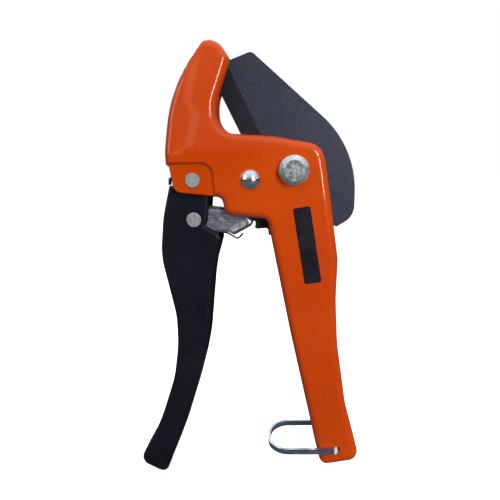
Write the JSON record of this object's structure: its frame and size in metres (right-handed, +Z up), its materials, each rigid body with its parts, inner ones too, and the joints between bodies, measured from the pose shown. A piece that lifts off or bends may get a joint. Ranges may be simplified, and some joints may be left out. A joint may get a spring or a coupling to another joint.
{
  "type": "ratchet plastic pipe cutter",
  "caption": "Hand-held ratchet cutter for plastic pipe: hooked jaw with fixed handle, pivoting toothed blade, squeezing handle with drive pawl, and a lock strap.",
  "frame": {"origin": "on the blade pivot axis, at the middle of the blade's thickness", "axes": "+Z up along the tool with the jaw on top and the handles below, -Y toward the front face with the bolt head, blade pivot along Y"},
  "size_m": [0.1098, 0.033, 0.2091],
  "materials": {
    "paint_orange": "gloss enamel with a faint orange-peel texture",
    "black_enamel": "satin black enamel",
    "black_vinyl": "satin dipped vinyl",
    "blasted_steel": "dark blue-grey fine blasted coating, ground bevel",
    "zinc_plate": "bright zinc plate with chamfer glints",
    "polished": "polished",
    "matte_steel": "matt grey, lightly hammered",
    "pawl_zinc": "blue zinc plate, scratched",
    "strap_steel": "blued spring steel",
    "spring_steel": "drawn wire",
    "bearing_steel": "turned, oiled",
    "label_black": "printed plate, plain"
  },
  "bodies": {
    "frame": {"body_casting": "paint_orange", "name_label": "label_black", "blade_bolt": "zinc_plate", "nut_washer": "zinc_plate", "bolt_nut": "zinc_plate", "blade_bush": "bearing_steel", "thrust_washers": "bearing_steel", "blade_return_spring": "spring_steel", "stop_rivet": "polished", "handle_rivet": "matte_steel", "handle_bush": "bearing_steel", "holding_pawl_pin": "bearing_steel"},
    "cutting_blade": {"blade": "blasted_steel"},
    "moving_handle": {"handle_channel": "black_enamel", "handle_grip": "black_vinyl", "handle_spring": "spring_steel", "pawl_rivet": "matte_steel", "pawl_sleeve": "bearing_steel"},
    "pawl": {"drive_pawl": "pawl_zinc", "pawl_spring": "spring_steel"},
    "back_stop": {"holding_pawl": "pawl_zinc", "holding_pawl_spring": "spring_steel"},
    "strap": {"lock_strap": "strap_steel"}
  },
  "joints": [
    {"name": "blade_pivot", "type": "hinge", "parent": "frame", "child": "cutting_blade", "pos_m": [0, 0, 0], "axis": [0, 1, 0], "range_deg": [0, 48]},
    {"name": "handle_pivot", "type": "hinge", "parent": "frame", "child": "moving_handle", "pos_m": [-0.0444, 0, -0.0036], "axis": [0, -1, 0], "range_deg": [-8, 18]},
    {"name": "drive_pawl_pivot", "type": "hinge", "parent": "moving_handle", "child": "pawl", "pos_m": [-0.0451, 0, -0.0214], "axis": [0, 1, 0], "range_deg": [-15, 27]},
    {"name": "holding_pawl_pivot", "type": "hinge", "parent": "frame", "child": "back_stop", "pos_m": [0.0035, 0, -0.0372], "axis": [0, -1, 0], "range_deg": [0, 12]},
    {"name": "strap_hinge", "type": "hinge", "parent": "frame", "child": "strap", "pos_m": [0.02095, 0, -0.1344], "axis": [0, -1, 0], "range_deg": [-50, 150]}
  ],
  "couplings": [
    {"joint": "drive_pawl_pivot", "follows": "handle_pivot", "ratio": 1.5}
  ]
}
